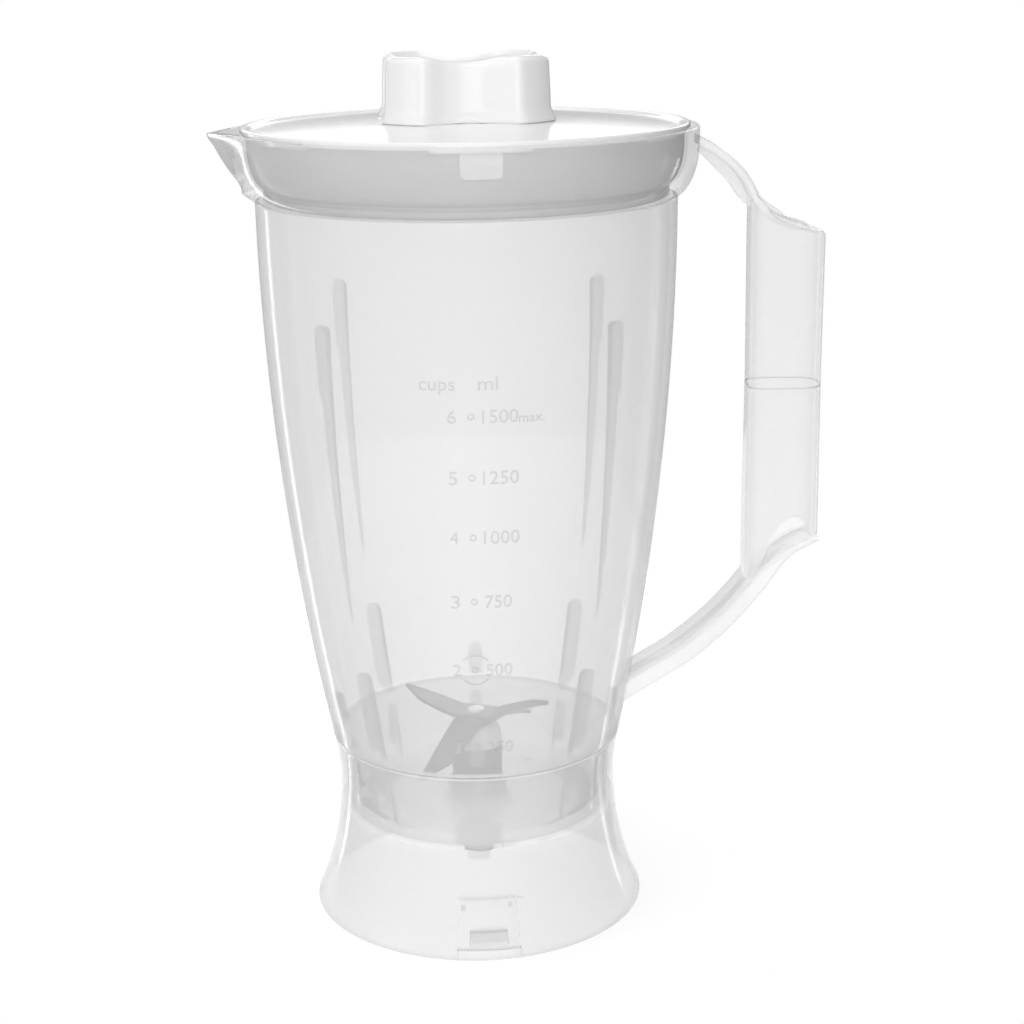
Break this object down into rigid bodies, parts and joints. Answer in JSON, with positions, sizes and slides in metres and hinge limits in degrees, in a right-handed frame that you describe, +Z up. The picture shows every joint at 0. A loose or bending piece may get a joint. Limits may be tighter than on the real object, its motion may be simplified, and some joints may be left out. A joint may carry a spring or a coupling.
{
  "type": "blender jug",
  "caption": "Milky plastic blender jug with pouring spout, open hollow handle, white lid with lobed filler cap, steel blade unit and clear flared base skirt.",
  "frame": {"origin": "centre of the base skirt's foot, in the plane it stands on", "axes": "+Z up along the jug's axis, +X towards the handle, -X towards the spout, -Y towards the measuring scale"},
  "size_m": [0.2034, 0.1528, 0.2942],
  "materials": {
    "clear_plastic": "polished clear moulding",
    "milky_plastic": "milky translucent moulding, polished outside",
    "white_plastic": "glossy opaque white",
    "dark_plastic": "dark grey moulded",
    "clear_silicone": "translucent silicone",
    "black_rubber": "matt rubber",
    "blade_steel": "brushed with ground edges",
    "bright_steel": "turned",
    "housing_metal": "satin",
    "bush_bronze": "sintered"
  },
  "bodies": {
    "base": {"base_skirt": "clear_plastic"},
    "tongue": {"latch_tongue": "clear_plastic"},
    "jug": {"jug": "milky_plastic", "handle": "milky_plastic", "bearing_housing": "housing_metal", "floor_gasket": "black_rubber", "housing_nut": "bright_steel", "upper_bush": "bush_bronze", "lower_bush": "bush_bronze", "shaft_seal": "black_rubber"},
    "rotor": {"spindle": "bright_steel", "splash_cap": "dark_plastic", "lower_blade": "blade_steel", "blade_spacer": "bright_steel", "upper_blade": "blade_steel", "thrust_washer": "bright_steel", "circlip": "bright_steel", "drive_coupling": "dark_plastic"},
    "lid": {"lid": "white_plastic", "lid_seal": "clear_silicone"},
    "cap": {"filler_cap": "white_plastic", "cap_seal": "clear_silicone"}
  },
  "joints": [
    {"name": "jug_twist", "type": "hinge", "parent": "base", "child": "jug", "pos_m": [0, 0, 0.035], "axis": [0, 0, 1], "range_deg": [0, 25]},
    {"name": "tongue_press", "type": "hinge", "parent": "base", "child": "tongue", "pos_m": [0.00293, -0.05592, 0.0038], "axis": [-0.9986, -0.0523, 0], "range_deg": [0, 4], "stiffness_Nm_per_rad": 0.5},
    {"name": "blade_spin", "type": "hinge", "parent": "jug", "child": "rotor", "pos_m": [0, 0, 0.05], "axis": [0, 0, 1], "continuous": true},
    {"name": "lid_lift", "type": "slide", "parent": "jug", "child": "lid", "axis": [0, 0, 1], "range_m": [0, 0.03]},
    {"name": "cap_lift", "type": "slide", "parent": "lid", "child": "cap", "axis": [0, 0, 1], "range_m": [0, 0.025]}
  ]
}
